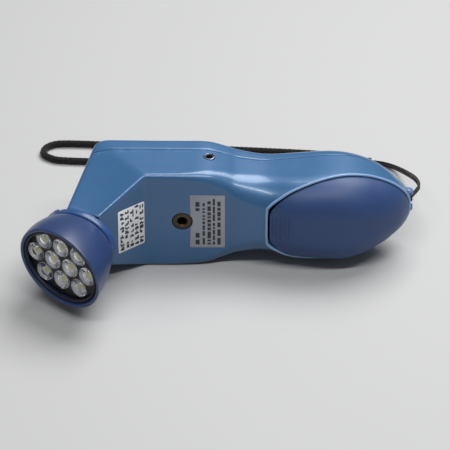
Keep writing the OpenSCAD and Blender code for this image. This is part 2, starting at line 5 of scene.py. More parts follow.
import bmesh
import bpy
from mathutils import Matrix, Vector


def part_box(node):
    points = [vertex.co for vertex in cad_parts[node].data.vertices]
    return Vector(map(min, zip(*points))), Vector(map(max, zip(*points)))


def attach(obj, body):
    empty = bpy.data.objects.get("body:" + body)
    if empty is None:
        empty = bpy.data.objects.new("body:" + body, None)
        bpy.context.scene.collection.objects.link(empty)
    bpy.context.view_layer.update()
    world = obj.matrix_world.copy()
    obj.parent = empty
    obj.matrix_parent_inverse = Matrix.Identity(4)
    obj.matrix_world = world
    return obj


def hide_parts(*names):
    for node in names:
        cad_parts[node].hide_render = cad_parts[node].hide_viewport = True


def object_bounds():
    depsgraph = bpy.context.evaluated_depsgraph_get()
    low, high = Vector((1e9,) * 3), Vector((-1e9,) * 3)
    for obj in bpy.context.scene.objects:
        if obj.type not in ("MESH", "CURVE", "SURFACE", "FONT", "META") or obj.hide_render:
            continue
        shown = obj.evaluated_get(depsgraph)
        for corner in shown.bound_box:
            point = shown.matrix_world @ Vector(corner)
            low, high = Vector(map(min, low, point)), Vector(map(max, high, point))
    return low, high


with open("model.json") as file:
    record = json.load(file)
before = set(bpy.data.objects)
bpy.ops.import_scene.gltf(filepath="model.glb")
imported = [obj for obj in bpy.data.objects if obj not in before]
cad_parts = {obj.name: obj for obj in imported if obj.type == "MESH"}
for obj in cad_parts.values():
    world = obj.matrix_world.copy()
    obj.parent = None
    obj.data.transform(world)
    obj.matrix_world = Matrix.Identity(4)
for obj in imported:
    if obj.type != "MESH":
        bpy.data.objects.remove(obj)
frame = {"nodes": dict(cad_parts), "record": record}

CAD_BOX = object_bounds()
RECORD = frame["record"]
MOUNTS = {m["name"]: m for m in RECORD["mounts"]}
SLOT_OF = {s["node"]: s["material_slot"] for s in RECORD["subparts"]}
SOCKETS = ("power_socket", "input_socket", "output_socket")
HOUSING = "housing"
MM = 0.001

# ---------- materials


def srgb(r, g, b):
    """Linear colour from 0-255 display values."""
    def lin(c):
        c = c / 255.0
        return c / 12.92 if c <= 0.04045 else ((c + 0.055) / 1.055) ** 2.4
    return (lin(r), lin(g), lin(b), 1.0)


def shade(colour, gain, lift=0.0):
    """The colour times a gain plus a lift, up to white."""
    return tuple(min(1, c * gain + lift) for c in colour[:3]) + (1,)


class Nodes:
    """Small helper for building node trees."""

    SOCKET_NAMES = dict(base="Base Color", rough="Roughness", metal="Metallic", normal="Normal", ior="IOR",
                        coat="Coat Weight", coat_rough="Coat Roughness", trans="Transmission Weight",
                        sheen="Sheen Weight", spec="Specular IOR Level")

    def __init__(self, name):
        self.mat = bpy.data.materials.new(name)
        self.mat.use_nodes = True
        self.tree = self.mat.node_tree
        self.bsdf = self.tree.nodes["Principled BSDF"]
        self.coord = self.add("ShaderNodeTexCoord")

    def add(self, kind, **props):
        n = self.tree.nodes.new(kind)
        for k, v in props.items():
            setattr(n, k, v)
        return n

    def feed(self, v, sock):
        """A number or a tuple sets the socket; another node's output is linked to it."""
        if isinstance(v, (int, float, tuple)):
            sock.default_value = v
        else:
            self.tree.links.new(v, sock)

    def texture(self, kind, out, vec=None, **inputs):
        """A node fed with a place on the object, and its output."""
        n = self.add(kind)
        self.feed(vec or self.coord.outputs["Object"], n.inputs["Vector"])
        for k, v in inputs.items():
            self.feed(v, n.inputs[k.replace("_", " ")])
        return n.outputs[out]

    def mapped(self, scale=(1, 1, 1), rot=(0, 0, 0)):
        return self.texture("ShaderNodeMapping", "Vector", Scale=scale, Rotation=rot)

    def noise(self, scale, detail=2.0, rough=0.5, vec=None):
        return self.texture("ShaderNodeTexNoise", "Fac", vec, Scale=scale, Detail=detail, Roughness=rough)

    def ramp(self, fac, stops):
        r = self.add("ShaderNodeValToRGB")
        el = r.color_ramp.elements
        while len(el) < len(stops):
            el.new(0.5)
        for e, (p, c) in zip(el, stops):
            e.position = p
            e.color = (*c, 1)
        self.feed(fac, r.inputs["Fac"])
        return r.outputs["Color"]

    def maths(self, op, a, b, clamp=False):
        m = self.add("ShaderNodeMath", operation=op, use_clamp=clamp)
        self.feed(a, m.inputs[0])
        self.feed(b, m.inputs[1])
        return m.outputs["Value"]

    def vary(self, fac, width, centre, clamp=False):
        """Runs half the width to either side of the centre as fac runs from 0 to 1."""
        spread = self.maths("MULTIPLY", self.maths("SUBTRACT", fac, 0.5), width)
        return self.maths("ADD", spread, centre, clamp)

    def mix(self, fac, a, b):
        m = self.add("ShaderNodeMix", data_type="RGBA")
        live = {s.name: s for s in m.inputs if s.enabled}
        for key, v in (("Factor", fac), ("A", a), ("B", b)):
            self.feed(v, live[key])
        return [s for s in m.outputs if s.enabled][0]

    def bump(self, height, strength, distance, normal=None):
        b = self.add("ShaderNodeBump")
        for key, v in (("Height", height), ("Strength", strength), ("Distance", distance)):
            self.feed(v, b.inputs[key])
        if normal is not None:
            self.feed(normal, b.inputs["Normal"])
        return b.outputs["Normal"]

    def set(self, **values):
        for k, v in values.items():
            self.feed(v, self.bsdf.inputs[self.SOCKET_NAMES[k]])
        return self.mat


def plastic(name, colour, rough=0.42, metal=0.0, grain=2600, grain_depth=0.35, variation=0.08, coat=0.0,
            wear=0.35, coat_rough=0.25):
    """Moulded plastic: fine spark-eroded grain, slight cloudiness, handling marks and paler worn edges."""
    n = Nodes(name)
    cloud = n.noise(45, 3, 0.55)
    fine = n.noise(grain, 2, 0.6)
    base = n.mix(cloud, shade(colour, 1 - variation), shade(colour, 1 + variation))
    base = n.mix(n.maths("MULTIPLY", fine, 0.10), base, shade(colour, 1.5, 0.02))
    convex = n.add("ShaderNodeNewGeometry").outputs["Pointiness"]
    edge = n.ramp(convex, [(0.52, (0, 0, 0)), (0.60, (1, 1, 1))])
    patches = n.ramp(n.noise(220, 3, 0.6), [(0.42, (0, 0, 0)), (0.62, (1, 1, 1))])
    worn = n.maths("MULTIPLY", n.maths("MULTIPLY", edge, patches), wear)
    base = n.mix(worn, base, shade(colour, 1.6, 0.06))
    smear = n.noise(130, 4, 0.65, n.mapped((0.35, 1, 1), (0.2, 0.1, 0.4)))
    r = n.maths("ADD", n.vary(smear, 0.16, rough), n.maths("MULTIPLY", worn, -0.12), clamp=True)
    normal = n.bump(fine, grain_depth, 0.00006)
    normal = n.bump(cloud, 0.12, 0.0006, normal)
    return n.set(base=base, rough=r, metal=metal, normal=normal, coat=coat, coat_rough=coat_rough)


def metal(name, colour, rough=0.3, brushed=(1, 1, 1)):
    """Metal with fine tool or rolling lines."""
    n = Nodes(name)
    lines = n.noise(900, 3, 0.6, n.mapped(brushed))
    return n.set(base=n.mix(lines, shade(colour, 0.85), colour), rough=n.vary(lines, 0.25, rough, clamp=True),
                 metal=1.0, normal=n.bump(lines, 0.15, 0.00005))


def clear(name, tint, rough=0.02):
    """Clear acrylic with a little dust."""
    n = Nodes(name)
    dust = n.maths("MULTIPLY", n.noise(400, 4, 0.7), 0.03)
    return n.set(base=tint, rough=n.maths("ADD", dust, rough, clamp=True), trans=1.0, ior=1.49,
                 normal=n.bump(n.noise(90, 2), 0.03, 0.0002))


def webbing(name, colour):
    """Braided cord: crossing diagonal strands with a fibre fuzz, and painted shade darkening the grooves
    between the strands.
    """
    n = Nodes(name)
    fibre = n.noise(2600, 2, 0.7, n.mapped((1, 0.35, 0.35)))
    waves = [n.texture("ShaderNodeTexWave", "Fac", n.mapped(rot=(0, 0.5 * turn, turn)), Scale=210,
                       Distortion=1.2, Detail=1) for turn in (-0.9, 0.9)]
    weave = n.maths("MAXIMUM", *waves)
    base = n.mix(fibre, shade(colour, 0.5), shade(colour, 1.9, 0.004))
    # Painted shade: darker in the grooves between the crossing strands
    base = n.mix(weave, shade(colour, 0.35), base)
    normal = n.bump(weave, 0.6, 0.0003, n.bump(fibre, 0.6, 0.00018))
    return n.set(base=base, rough=0.85, sheen=0.12, spec=0.25, normal=normal)


def printed(name, colour, rough=0.5):
    """Label stock: smooth film with a faint fibre."""
    n = Nodes(name)
    fibre = n.noise(900, 4, 0.7, n.mapped((1, 0.4, 1)))
    base = n.mix(fibre, shade(colour, 0.94), colour)
    base = n.mix(n.maths("MULTIPLY", n.noise(60, 2), 0.12), base, shade(colour, 0.8))
    return n.set(base=base, rough=n.vary(fibre, 0.12, rough), normal=n.bump(fibre, 0.12, 0.00005))


def board_material(name):
    """Green solder mask with a hint of tracks."""
    n = Nodes(name)
    tracks = n.texture("ShaderNodeTexBrick", "Fac", Scale=260, Mortar_Size=0.03)
    base = n.mix(n.maths("MULTIPLY", tracks, 0.6), srgb(24, 84, 52), srgb(60, 130, 84))
    return n.set(base=base, rough=0.35, normal=n.bump(tracks, 0.2, 0.00005))


def cell_material(name):
    """Printed battery sleeve: dark body with a copper-coloured shoulder."""
    n = Nodes(name)
    along = n.texture("ShaderNodeSeparateXYZ", "X")
    dark, copper = (0.03, 0.03, 0.035), (0.45, 0.2, 0.06)
    band = n.ramp(n.maths("MULTIPLY", along, 10.0),
                  [(0.0, dark), (0.9, dark), (0.92, copper), (1.0, (0.5, 0.24, 0.08))])
    fine = n.noise(700, 3)
    return n.set(base=n.mix(n.maths("MULTIPLY", fine, 0.15), band, (0.2, 0.2, 0.2, 1)), rough=0.28, metal=0.5,
                 normal=n.bump(fine, 0.05, 0.0001))


BLUE = srgb(50, 94, 136)
M = {
    "casing": plastic("casing_blue", BLUE, rough=0.35, metal=0.12, coat=0.4, coat_rough=0.15, wear=0.25),
    # Lighter blue for the door's lip: a painted highlight, standing in for the light caught along the lip
    "edge": plastic("casing_lip_painted_highlight", srgb(118, 150, 188), rough=0.3, grain_depth=0.15, coat=0.2, wear=0.2),
    "navy": plastic("door_navy", srgb(34, 62, 108), rough=0.5, grain_depth=0.5, wear=0.25),
    "navy_gloss": plastic("lamp_navy", srgb(36, 56, 98), rough=0.34, coat=0.15, grain_depth=0.2),
    "collar": plastic("collar_blue", srgb(38, 70, 120), rough=0.34, coat=0.15, grain_depth=0.2),
    "overlay": plastic("overlay_film", srgb(28, 40, 74), rough=0.32, grain=1800, grain_depth=0.3, wear=0.15),
    "key": plastic("key_grey", srgb(188, 194, 200), rough=0.45, wear=0.2),
    "key_red": plastic("key_red", srgb(176, 62, 38), rough=0.42, wear=0.2),
    "black": plastic("black_plastic", srgb(26, 26, 29), rough=0.45, wear=0.3),
    "rim_black": plastic("rim_black", srgb(16, 17, 22), rough=0.6, wear=0.1),
    "board": board_material("solder_mask"),
    "light_plate": plastic("white_plate", srgb(226, 228, 222), rough=0.35, wear=0.1),
    "lcd": plastic("lcd_grey", srgb(146, 156, 136), rough=0.25, grain=1500, grain_depth=0.1, wear=0),
    "ink": plastic("print_ink", srgb(34, 36, 42), rough=0.5, wear=0),
    "ink_pale": plastic("print_pale", srgb(206, 212, 220), rough=0.5, wear=0),
    "clear": clear("window_clear", (0.93, 0.95, 0.97, 1)),
    "lens": clear("lens_clear", (0.97, 0.98, 1.0, 1), rough=0.03),
    "led": plastic("led_phosphor", srgb(232, 222, 130), rough=0.4, wear=0),
    "label_w": printed("label_white_film", srgb(240, 240, 242)),
    "label_g": printed("label_grey_film", srgb(150, 152, 162), rough=0.38),
    "brass": metal("insert_bronze", srgb(82, 72, 58), rough=0.4),
    "steel": metal("plated_steel", srgb(196, 198, 202), rough=0.25),
    "ring": metal("socket_ring", srgb(120, 132, 154), rough=0.34),
    "alu": metal("extruded_aluminium", srgb(176, 180, 186), rough=0.4, brushed=(1, 1, 0.1)),
    "cup": plastic("cup_white", srgb(244, 245, 250), rough=0.16, grain_depth=0.05, variation=0.02, coat=0.6,
                   wear=0),
    "cell": cell_material("cell_sleeve"),
    "wire_red": plastic("wire_red", srgb(150, 34, 30), rough=0.5, wear=0),
    "wire_black": plastic("wire_black", srgb(24, 24, 26), rough=0.5, wear=0),
    "fabric": webbing("strap_braid", srgb(14, 14, 17)),
}

# ---------- mesh helpers


def finish_mesh(obj, angle):
    """Smooth faces, with edges sharper than the angle kept sharp."""
    me = obj.data
    me.polygons.foreach_set("use_smooth", [True] * len(me.polygons))
    me.set_sharp_from_angle(angle=math.radians(angle))
    return obj


def new_object(name, verts, faces, mat, body=HOUSING, angle=38, weld=True):
    """Mesh object from millimetre coordinates, riding on a body."""
    me = bpy.data.meshes.new(name)
    me.from_pydata([tuple(c * MM for c in v) for v in verts], [], faces)
    bm = bmesh.new()
    bm.from_mesh(me)
    if weld:
        bmesh.ops.remove_doubles(bm, verts=bm.verts, dist=2e-6)
        bmesh.ops.dissolve_degenerate(bm, edges=bm.edges, dist=1e-6)
    bmesh.ops.recalc_face_normals(bm, faces=bm.faces)
    bm.to_mesh(me)
    bm.free()
    me.materials.append(mat)
    obj = bpy.data.objects.new(name, me)
    bpy.context.scene.collection.objects.link(obj)
    finish_mesh(obj, angle)
    if body:
        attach(obj, body)
    return obj


def stand_for(node, obj):
    """The object is shown in place of a CAD node, which is hidden."""
    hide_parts(node)
    return obj


def apply_modifiers(obj):
    dg = bpy.context.evaluated_depsgraph_get()
    me = bpy.data.meshes.new_from_object(obj.evaluated_get(dg))
    obj.modifiers.clear()
    obj.data = me
    return finish_mesh(obj, 38)


def add_bevel(obj, width):
    b = obj.modifiers.new("bevel", "BEVEL")
    b.width = width * MM
    b.segments = 2
    b.limit_method = "ANGLE"
    b.angle_limit = math.radians(50)


def bevelled(obj, width):
    add_bevel(obj, width)
    return apply_modifiers(obj)


def cut(obj, cutters):
    for c in cutters:
        m = obj.modifiers.new("cut", "BOOLEAN")
        m.operation = "DIFFERENCE"
        m.solver = "EXACT"
        m.object = c
    apply_modifiers(obj)
    for c in cutters:
        bpy.data.objects.remove(c, do_unlink=True)
    return obj


def circle(count):
    """Cosine and sine at equal steps round a circle."""
    return [(math.cos(2 * math.pi * k / count), math.sin(2 * math.pi * k / count)) for k in range(count)]


def grid_faces(rows, cols, wrap_rows=False, wrap_cols=False):
    faces = []
    for i in range(rows if wrap_rows else rows - 1):
        for j in range(cols if wrap_cols else cols - 1):
            a, b, k = i * cols, (i + 1) % rows * cols, (j + 1) % cols
            faces.append((a + j, a + k, b + k, b + j))
    return faces


def tube(rows, closed=False):
    """Rows of points skinned into a tube, its ends closed unless it runs in a loop."""
    cols = len(rows[0])
    faces = grid_faces(len(rows), cols, wrap_rows=closed, wrap_cols=True)
    if not closed:
        faces.append(tuple(range(cols - 1, -1, -1)))
        faces.append(tuple((len(rows) - 1) * cols + k for k in range(cols)))
    return [v for r in rows for v in r], faces


def revolve(profile, segments, matrix):
    """A profile of (radius, z) turned about local Z; closed where the radius is 0."""
    verts = [tuple(matrix @ Vector((r * c, r * s, z))) for c, s in circle(segments) for r, z in profile]
    return verts, grid_faces(segments, len(profile), wrap_rows=True)


def prism(outline, y0, y1):
    """Solid between two heights over an outline in X and Z."""
    return tube([[(x, y, z) for x, z in outline] for y in (y0, y1)])


def join_parts(parts):
    verts, faces = [], []
    for v, f in parts:
        o = len(verts)
        verts += list(v)
        faces += [tuple(i + o for i in face) for face in f]
    return verts, faces


def bar_boxes(bars, place, low, high):
    """Thin boxes for bars of (a, b, width, height); place(a, b, lift) gives a point of the surface."""
    parts = []
    for a, b, w, h in bars:
        corners = rect(a - w / 2, b - h / 2, a + w / 2, b + h / 2)
        parts.append(tube([[place(x, z, lift) for x, z in corners] for lift in (low, high)]))
    return join_parts(parts)


def hermite(t, a, b, slope_a, slope_b):
    """Smooth curve from a to b as t runs from 0 to 1."""
    return ((2 * t ** 3 - 3 * t * t + 1) * a + (3 * t * t - 2 * t ** 3) * b
            + (t ** 3 - 2 * t * t + t) * slope_a + (t ** 3 - t * t) * slope_b)


def smooth_path(points, step, closed=False):
    """Smooth curve through points, resampled about every step."""
    pts = [Vector(p) for p in points]
    n = len(pts)
    dense = []
    for i in range(n if closed else n - 1):
        p0 = pts[(i - 1) % n] if closed or i > 0 else pts[0]
        p1, p2 = pts[i], pts[(i + 1) % n]
        p3 = pts[(i + 2) % n] if closed or i + 2 < n else pts[-1]
        dense += [hermite(k / 16, p1, p2, (p2 - p0) / 2, (p3 - p1) / 2) for k in range(16)]
    dense.append(pts[0] if closed else pts[-1])
    total = sum((b - a).length for a, b in zip(dense, dense[1:]))
    count = max(2, round(total / step))
    out, want, run = [dense[0]], total / count, 0.0
    for a, b in zip(dense, dense[1:]):
        d = (b - a).length
        while d > 0 and run + d >= want * len(out) and len(out) < count:
            out.append(a.lerp(b, (want * len(out) - run) / d))
        run += d
    return out if closed else out + [dense[-1]]


def sweep(path, section, closed=False, up=Vector((0, 0, 1))):
    """Tube along a path. section(i, n) gives the (across, up) offsets at point i of n."""
    rows, n = [], len(path)
    for i, p in enumerate(path):
        a = path[(i - 1) % n] if closed or i > 0 else path[i]
        b = path[(i + 1) % n] if closed or i + 1 < n else path[i]
        t = (b - a).normalized()
        side = t.cross(up).normalized()
        lift = side.cross(t).normalized()
        rows.append([tuple(p + side * s + lift * h) for s, h in section(i, n)])
    return tube(rows, closed)


def round_section(r, count):
    return lambda i, n: [(r * c, r * s) for c, s in circle(count)]


def rounded_rect(w, h, r, n=6):
    pts = []
    for sx, sy, a0 in ((1, 1, 0), (-1, 1, 90), (-1, -1, 180), (1, -1, 270)):
        for k in range(n + 1):
            a = math.radians(a0 + 90 * k / n)
            pts.append((sx * (w / 2 - r) + r * math.cos(a), sy * (h / 2 - r) + r * math.sin(a)))
    return pts


def rect(x0, z0, x1, z1):
    return [(x0, z0), (x1, z0), (x1, z1), (x0, z1)]


def moved(outline, centre):
    return [(centre[0] + x, centre[1] + z) for x, z in outline]


def cutter(verts, faces):
    return new_object("cutter", verts, faces, M["black"], body=None)


def facing(point, axis):
    """Matrix whose Z runs along the axis from a point in millimetres."""
    return Matrix.Translation(Vector(point)) @ Vector(axis).to_track_quat("Z", "Y").to_matrix().to_4x4()


def cylinder_cutter(point, axis, r, length, segments=64):
    profile = [(0, -length / 2), (r, -length / 2), (r, length / 2), (0, length / 2)]
    return cutter(*revolve(profile, segments, facing(point, axis)))


def middle(node):
    """Middle of a CAD node's box, in millimetres."""
    lo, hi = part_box(node)
    return (lo + hi) / 2 / MM


def flat_piece(name, outlines, y0, y1, bevel, mat):
    """Flat plate in X and Z between y0 and y1 with softened edges; later outlines are holes."""
    cu = bpy.data.curves.new(name, "CURVE")
    cu.dimensions = "2D"
    cu.fill_mode = "BOTH"
    cu.extrude = ((y1 - y0) / 2 - bevel) * MM
    cu.bevel_depth = bevel * MM
    cu.bevel_resolution = 1
    cu.offset = -bevel * MM
    for pts in outlines:
        s = cu.splines.new("POLY")
        s.points.add(len(pts) - 1)
        for p, (x, z) in zip(s.points, pts):
            p.co = (x * MM, z * MM, 0, 1)
        s.use_cyclic_u = True
    tmp = bpy.data.objects.new(name + "_tmp", cu)
    bpy.context.scene.collection.objects.link(tmp)
    dg = bpy.context.evaluated_depsgraph_get()
    me = bpy.data.meshes.new_from_object(tmp.evaluated_get(dg))
    bpy.data.objects.remove(tmp, do_unlink=True)
    verts = [(v.co.x / MM, (y0 + y1) / 2 - v.co.z / MM, v.co.y / MM) for v in me.vertices]
    return new_object(name, verts, [tuple(p.vertices) for p in me.polygons], mat, angle=30)


# ---------- casing's outer form

# x, half width, back y, front y, back corner radius, front corner radius
KEYS = [(-20, 30.5, 0, 36.5, 2.5, 4), (0, 30.5, 0, 36.5, 3, 4), (14, 30.2, 0, 36.5, 6, 4),
        (24, 27.6, 0, 36.5, 9.2, 4.6), (30, 25.5, -1.5, 36.5, 12, 5), (45, 23.5, -4.5, 36.5, 16, 7),
        (62, 25.0, -9.5, 37, 18, 9), (80, 27.0, -11.0, 37.5, 19, 11), (100, 27.0, -11.0, 37, 20, 13),
        (126, 26.0, -10, 36, 20, 14)]
HALF_W, BACK_Y, FRONT_Y, BACK_R, FRONT_R = 1, 2, 3, 4, 5
TAIL_X, TAIL_START, TAIL_Y = 126.0, 84.0, 21.0
# Lamp neck and bend: P is on the back, Q on the display side
BEND_P, BEND_Q = Vector((-20.2, 0)), Vector((-48.3, 36.5))
NECK_ANGLE = math.radians(65.6)
LAMP_DIR = Vector((-math.cos(NECK_ANGLE), -math.sin(NECK_ANGLE)))
LAMP_SIDE = Vector((math.sin(NECK_ANGLE), -math.cos(NECK_ANGLE)))
NECK_P = Vector((-44.5, -19.0))
NECK_Q = NECK_P - 20.1 * LAMP_SIDE
BEND_HALF_W, NECK_HALF_W = 30.5, 16.5
# Height of the seam between door and casing along x; the door starts at SEAM_X
SEAM = [(44, -8), (46, -6), (46.8, -5.1), (48.8, -4.7), (55.2, -3.6), (64, -1.2), (71.5, 0.9), (80.5, 3.4),
        (91, 6.2), (97.6, 7.8), (103.7, 9.4), (110.5, 11), (116.7, 12.5), (121.3, 13.8), (124.3, 15),
        (130, 17.5)]
SEAM_X = 44.9
# Parting line between the two shells, and half the width of its groove
PARTING, GROOVE = 25.6, 0.2
REAR_TOP, FRONT_BOTTOM = PARTING - GROOVE, PARTING + GROOVE
# How far each side stands off the seam, and the door's depth below the casing's surface
SHELL_SEAM, DOOR_SEAM, DOOR_INSET = 0.2, -0.12, 0.45
SHELL_WALL, DOOR_WALL = 2.0, 1.5
SLACK = 1e-6


def curve_value(table, x, k):
    """Column k of a table at x, on a smooth curve through its rows."""
    n = len(table)
    i = max([0] + [j for j in range(n - 1) if x > table[j][0]])

    def slope(j):
        if j <= 0 or j >= n - 1:
            return 0.0
        return (table[j + 1][k] - table[j - 1][k]) / (table[j + 1][0] - table[j - 1][0])
    h = table[i + 1][0] - table[i][0]
    return hermite((x - table[i][0]) / h, table[i][k], table[i + 1][k], slope(i) * h, slope(i + 1) * h)


class Ring:
    """Rounded rectangle standing on the line p (back) to q (front)."""

    def __init__(self, p, q, w, rb, rf, inset=0.0):
        d = (q - p).normalized()
        self.p, self.d = p + d * inset, d
        self.len = (q - p).length - 2 * inset
        self.w = w - inset
        self.rb = min(max(rb - inset, 0.4), 0.98 * self.w, 0.49 * self.len)
        self.rf = min(max(rf - inset, 0.4), 0.98 * self.w, 0.49 * self.len)

    def point(self, t):
        """t 0..5 runs from the back's middle round the +Z side to the front's middle."""
        w, rb, rf, ln = self.w, self.rb, self.rf, self.len
        if t <= 1:
            u, v = 0.0, (w - rb) * t
        elif t <= 2:
            a = (t - 1) * math.pi / 2
            u, v = rb - rb * math.cos(a), w - rb + rb * math.sin(a)
        elif t <= 3:
            u, v = rb + (ln - rf - rb) * (t - 2), w
        elif t <= 4:
            a = (t - 3) * math.pi / 2
            u, v = ln - rf + rf * math.sin(a), w - rf + rf * math.cos(a)
        else:
            u, v = ln, (w - rf) * (5 - t)
        xy = self.p + self.d * u
        return Vector((xy.x, xy.y, v))

    def normal(self, t):
        a = min(max(t - 1, 0), 1) * math.pi / 2 + min(max(t - 3, 0), 1) * math.pi / 2
        return Vector((-self.d.x * math.cos(a), -self.d.y * math.cos(a), math.sin(a)))

    def t_at(self, y):
        """t where the outline passes height y, between the two flats."""
        u = (y - self.p.y) / self.d.y
        rb, rf, ln = self.rb, self.rf, self.len
        if u <= 0:
            return 1.0
        if u >= ln:
            return 4.0
        if u < rb:
            return 1 + math.acos((rb - u) / rb) / (math.pi / 2)
        if u < ln - rf:
            return 2 + (u - rb) / (ln - rf - rb)
        return 3 + math.asin(min(1, (u - ln + rf) / rf)) / (math.pi / 2)


def handle_ring(x, inset=0.0):
    """Cross-section of the handle; it shrinks to a point at the tail."""
    q = max(0.0, (x - TAIL_START) / (TAIL_X - TAIL_START))
    e, f = math.sqrt(max(0.0, 1 - q * q)), math.sqrt(max(0.0, 1 - q ** 2.6))
    back = TAIL_Y + (curve_value(KEYS, x, BACK_Y) - TAIL_Y) * e
    front = TAIL_Y + (curve_value(KEYS, x, FRONT_Y) - TAIL_Y) * f
    return Ring(Vector((x, back)), Vector((x, front)), curve_value(KEYS, x, HALF_W) * e,
                curve_value(KEYS, x, BACK_R), curve_value(KEYS, x, FRONT_R), inset)


def head_ring(h, inset=0.0):
    """Cross-section of the head: h is 0 at the bend and 1 at the lamp end."""
    return Ring(BEND_P.lerp(NECK_P, h), BEND_Q.lerp(NECK_Q, h), BEND_HALF_W + (NECK_HALF_W - BEND_HALF_W) * h,
                2.5 - 0.7 * h, 4 - 2 * h, inset)


def back_y(x, inset=0.0):
    return handle_ring(x, inset).p.y


def front_y(x):
    r = handle_ring(x)
    return r.p.y + r.len


def seam_y(x, shift):
    return curve_value(SEAM, x + shift, 1) + shift


def solve(fn, a, b):
    """x between a and b where fn changes sign."""
    fa = fn(a)
    for _ in range(60):
        m = (a + b) / 2
        if (fn(m) > 0) == (fa > 0):
            a = m
        else:
            b = m
    return (a + b) / 2


# Where the parting line leaves through the head's end (as h) and the tail (as x)
HEAD_SPLIT_REAR = (BEND_Q.y - REAR_TOP) / (BEND_Q.y - NECK_Q.y)
HEAD_SPLIT_FRONT = (BEND_Q.y - FRONT_BOTTOM) / (BEND_Q.y - NECK_Q.y)
TAIL_SPLIT_REAR = solve(lambda x: front_y(x) - REAR_TOP, 110, 125.99)
TAIL_SPLIT_FRONT = solve(lambda x: front_y(x) - FRONT_BOTTOM, 110, 125.99)
# Where the seam meets the back: the opening in the casing, and the door in it
OPENING_LO = solve(lambda x: seam_y(x, SHELL_SEAM) - back_y(x), 45.2, 52)
OPENING_HI = solve(lambda x: seam_y(x, SHELL_SEAM) - back_y(x), 100, 125.9)
DOOR_LO = solve(lambda x: seam_y(x, DOOR_SEAM) - back_y(x, DOOR_INSET), 45.2, 54)
DOOR_HI = solve(lambda x: seam_y(x, DOOR_SEAM) - back_y(x, DOOR_INSET), 100, 125.9)


def stations(extra_heads, extra_x):
    """Cross-sections from the lamp end to the tail, each (kind, value)."""
    heads = [1, 0.97, 0.93, 0.85, 0.77, 0.69, 0.61, 0.53, 0.46, 0.4, 0.34, 0.29, 0.25, 0.21, 0.17, 0.13]
    out = [("head", h) for h in sorted(set(heads + extra_heads), reverse=True)]
    out += [("fold", k / 8) for k in range(9)] + [("fan", f) for f in (0.3, 0.45, 0.6, 0.8, 1.0)]
    xs = [-11 + 3 * i for i in range(9)] + [15 + 1.75 * i for i in range(40)]
    xs += [TAIL_START + (TAIL_X - TAIL_START) * math.sin(math.radians(a)) for a in range(2, 87, 3)]
    xs += [TAIL_X - 0.06, TAIL_X - 0.012, TAIL_X - 0.0005]
    return out + [("x", x) for x in sorted(set(xs + extra_x))]


def near_ends(lo, hi):
    """The door's ends and closer stations beside them, where the outline turns fast."""
    steps = (0, 0.06, 0.2, 0.45, 0.8, 1.3)
    return [lo + d for d in steps] + [hi - d for d in steps]


def near_split(h):
    return [h - 0.005 * i for i in range(15)]


def rings_of(station, inset):
    """Weighted rings of a station."""
    kind, v = station
    if kind == "head":
        return [(1.0, head_ring(v, inset))]
    if kind == "x":
        return [(1.0, handle_ring(v, inset))]
    bend, handle = head_ring(0, inset), handle_ring(-14, inset)
    if kind == "fan":
        return [(1 - v, bend), (v, handle)]
    # The fold rounds the bend's corner: a quadratic curve from the head at 0.1 to the fan at 0.2
    start, end = (1 - v) ** 2, v ** 2
    return [(start, head_ring(0.1, inset)), (1 - start - end + 0.8 * end, bend), (0.2 * end, handle)]


def row(station, seg, n, seam, parting, inset):
    """n + 1 points of a segment: A back to seam, B seam to parting line, C parting line to the front."""
    kind, x = station
    by_door = seam is not None and kind == "x" and SEAM_X < x <= TAIL_X - 0.1
    total = [Vector((0, 0, 0)) for _ in range(n + 1)]
    for weight, ring in rings_of(station, inset):
        ts = ring.t_at(seam_y(x, seam)) if by_door else 1.0
        tp = 4.0 if ring.p.y + ring.d.y * ring.len <= parting else ring.t_at(parting)
        a, b = {"A": (0.0, ts), "B": (ts, tp), "C": (tp, 5.0)}[seg]
        for j in range(n + 1):
            total[j] += weight * ring.point(a + (b - a) * j / n)
    return total


def patch(sts, seg, n, seam, parting, inset=0.0):
    """Both halves of a strip of the surface, as verts and faces."""
    parts = []
    rows = [row(s, seg, n, seam, parting, inset) for s in sts]
    for sign in (1, -1):
        verts = [(p.x, p.y, p.z * sign) for r in rows for p in r]
        f = grid_faces(len(rows), n + 1)
        parts.append((verts, f if sign > 0 else [tuple(reversed(q)) for q in f]))
    return join_parts(parts)


def build_shell(name, surface, wall, mat, edge, body=HOUSING):
    """Gives a surface its wall thickness, inwards, and rounds its edges."""
    obj = new_object(name, *surface, mat, body)
    s = obj.modifiers.new("wall", "SOLIDIFY")
    s.thickness = wall * MM
    s.offset = -1
    s.use_even_offset = False
    s.use_quality_normals = True
    apply_modifiers(obj)
    return bevelled(obj, edge)


# ---------- rear shell

SOCKET_CUT_R, INSERT_CUT_R, CUT_DEPTH = 3.3, 5.7, 12


def rear_surface():
    sts = stations(near_split(HEAD_SPLIT_REAR), [TAIL_SPLIT_REAR] + near_ends(OPENING_LO, OPENING_HI))
    ahead = [s for s in sts if s[0] != "x" or s[1] <= OPENING_LO + SLACK]
    behind = [s for s in sts if s[0] == "x" and s[1] >= OPENING_HI - SLACK]
    head = [s for s in sts if s[0] == "head" and s[1] >= HEAD_SPLIT_REAR - SLACK]
    tail = [s for s in sts if s[0] == "x" and s[1] >= TAIL_SPLIT_REAR - SLACK]
    strips = ((sts, "B", 28), (ahead, "A", 24), (behind, "A", 24), (head, "C", 24), (tail, "C", 24))
    return join_parts([patch(s, seg, n, SHELL_SEAM, REAR_TOP) for s, seg, n in strips])


rear_shell = build_shell("rear_shell_body", rear_surface(), SHELL_WALL, M["casing"], 0.32)
openings = [cylinder_cutter(Vector(MOUNTS[m]["pos_m"]) / MM, MOUNTS[m]["axis"], SOCKET_CUT_R, CUT_DEPTH)
            for m in SOCKETS]
openings.append(cylinder_cutter((0, 2, 0), (0, 1, 0), INSERT_CUT_R, CUT_DEPTH))
